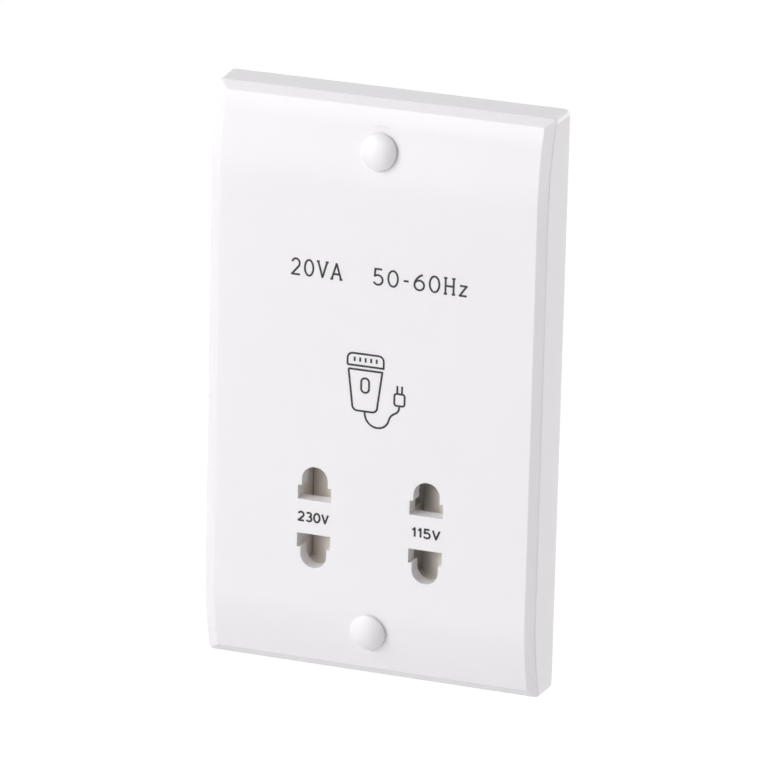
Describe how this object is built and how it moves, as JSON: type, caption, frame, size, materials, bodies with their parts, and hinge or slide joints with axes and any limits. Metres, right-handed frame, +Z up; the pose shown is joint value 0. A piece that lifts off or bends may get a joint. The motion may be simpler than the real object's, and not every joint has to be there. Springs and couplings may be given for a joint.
{
  "type": "shaver socket",
  "caption": "White dual-voltage shaver supply unit: a domed-cap wall plate with two-pin outlets, a sliding shutter behind them and an isolating transformer in a rear housing.",
  "frame": {"origin": "on the wall plane, midway between the two fixing screws", "axes": "+Z up, +X to the right seen from the front, +Y into the wall; the front faces -Y"},
  "size_m": [0.086, 0.0486, 0.1456],
  "materials": {
    "plate_plastic": "glossy moulded urea-formaldehyde, warm white",
    "cap_plastic": "glossy moulded cap, warm white",
    "carrier_plastic": "moulded, off-white",
    "shutter_plastic": "moulded, warm grey",
    "switch_plastic": "moulded, black",
    "plunger_plastic": "moulded, red",
    "cover_plastic": "moulded, fine spark texture",
    "block_plastic": "moulded, cream",
    "bobbin_plastic": "glass-filled nylon, black",
    "contact_brass": "pressed strip",
    "cage_brass": "pressed strip",
    "winding_copper": "enamelled copper wire",
    "pin_metal": "tinned",
    "lamination_steel": "stacked silicon steel, varnished",
    "screw_steel": "zinc plated",
    "spring_steel": "drawn wire",
    "tape_yellow": "polyester tape, yellow",
    "cutout_metal": "small metal case",
    "lead_brown": "PVC insulation, brown",
    "lead_blue": "PVC insulation, blue",
    "lead_black": "PVC insulation, black",
    "lead_red": "PVC insulation, red"
  },
  "bodies": {
    "unit": {"front_plate": "plate_plastic", "screw_cap_top": "cap_plastic", "screw_cap_bottom": "cap_plastic", "fixing_screw_top": "screw_steel", "fixing_screw_bottom": "screw_steel", "outlet_carrier": "carrier_plastic", "shutter_spring": "spring_steel", "micro_switch": "switch_plastic", "switch_tags": "contact_brass", "contact_upper_left": "contact_brass", "contact_upper_right": "contact_brass", "contact_lower_left": "contact_brass", "contact_lower_right": "contact_brass", "common_bus_bar": "contact_brass", "contact_cover": "carrier_plastic", "cover_plate_screws": "screw_steel", "carrier_screws": "screw_steel", "transformer_e_core": "lamination_steel", "transformer_i_core": "lamination_steel", "bobbin": "bobbin_plastic", "bobbin_pins": "pin_metal", "primary_winding": "winding_copper", "secondary_winding": "winding_copper", "winding_tape": "tape_yellow", "thermal_cutout": "cutout_metal", "terminal_block": "block_plastic", "terminal_cages": "cage_brass", "terminal_screws": "screw_steel", "live_lead": "lead_brown", "switched_lead": "lead_brown", "neutral_lead": "lead_blue", "common_lead": "lead_black", "tap_115_lead": "lead_red", "tap_230_lead": "lead_red", "rear_cover": "cover_plastic", "rear_cover_screws": "screw_steel"},
    "sliding_shutter": {"shutter": "shutter_plastic"},
    "switch_button": {"switch_plunger": "plunger_plastic"}
  },
  "joints": [
    {"name": "shutter_slide", "type": "slide", "parent": "unit", "child": "sliding_shutter", "axis": [1, 0, 0], "range_m": [0, 0.0077], "stiffness_N_per_m": 60, "springref_m": -0.004, "deforming": ["shutter_spring"]},
    {"name": "plunger_slide", "type": "slide", "parent": "unit", "child": "switch_button", "axis": [0, 0, 1], "range_m": [0, 0.00078]}
  ],
  "couplings": [
    {"joint": "plunger_slide", "follows": "shutter_slide", "ratio": 0.1}
  ]
}
